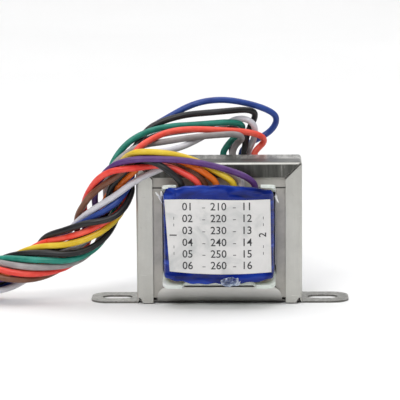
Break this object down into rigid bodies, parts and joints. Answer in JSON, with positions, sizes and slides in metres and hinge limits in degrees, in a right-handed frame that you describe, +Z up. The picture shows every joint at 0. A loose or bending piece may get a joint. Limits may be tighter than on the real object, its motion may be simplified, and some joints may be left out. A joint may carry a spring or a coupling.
{
  "type": "laminated chassis transformer",
  "caption": "Laminated E-I core audio line transformer in a slotted channel frame, with a blue taped coil, a paper tap label and a twisted bundle of coloured leads.",
  "frame": {"origin": "centre of the footprint, on the plane the mounting ears stand on", "axes": "+X along the ears, -Y the label face, +Z up"},
  "size_m": [0.1143, 0.0357, 0.051],
  "materials": {
    "core_steel": "satin",
    "plated_sheet": "satin",
    "bobbin_nylon": "satin",
    "copper_wire": "satin",
    "winding_paper": "matte",
    "blue_tape": "gloss",
    "label_paper": "matte",
    "white_film": "satin",
    "clear_tape": "gloss",
    "tinned_copper": "satin",
    "violet_pvc": "satin",
    "yellow_pvc": "satin",
    "orange_pvc": "satin",
    "red_pvc": "satin",
    "brown_pvc": "satin",
    "black_pvc": "satin",
    "white_pvc": "satin",
    "green_pvc": "satin",
    "grey_pvc": "satin",
    "blue_pvc": "satin"
  },
  "bodies": {
    "root": {"e_laminations": "core_steel", "i_laminations": "core_steel", "channel_frame": "plated_sheet", "base_clip": "plated_sheet", "bobbin": "bobbin_nylon", "primary_winding": "copper_wire", "winding_insulation": "winding_paper", "secondary_winding": "copper_wire", "coil_wrap": "winding_paper", "outer_tape": "blue_tape", "tap_label": "label_paper", "left_film": "white_film", "right_film": "white_film", "clear_tape_tab": "clear_tape", "lead_violet": "violet_pvc", "tip_violet": "tinned_copper", "lead_yellow": "yellow_pvc", "tip_yellow": "tinned_copper", "lead_orange": "orange_pvc", "tip_orange": "tinned_copper", "lead_red_front": "red_pvc", "tip_red_front": "tinned_copper", "lead_brown": "brown_pvc", "tip_brown": "tinned_copper", "lead_black_front": "black_pvc", "tip_black_front": "tinned_copper", "lead_white_front": "white_pvc", "tip_white_front": "tinned_copper", "lead_green": "green_pvc", "tip_green": "tinned_copper", "lead_grey": "grey_pvc", "tip_grey": "tinned_copper", "lead_red_rear": "red_pvc", "tip_red_rear": "tinned_copper", "lead_black_loop": "black_pvc", "tip_black_loop": "tinned_copper", "lead_black_rear": "black_pvc", "tip_black_rear": "tinned_copper", "lead_white_rear": "white_pvc", "tip_white_rear": "tinned_copper", "lead_blue": "blue_pvc", "tip_blue": "tinned_copper"}
  },
  "joints": []
}
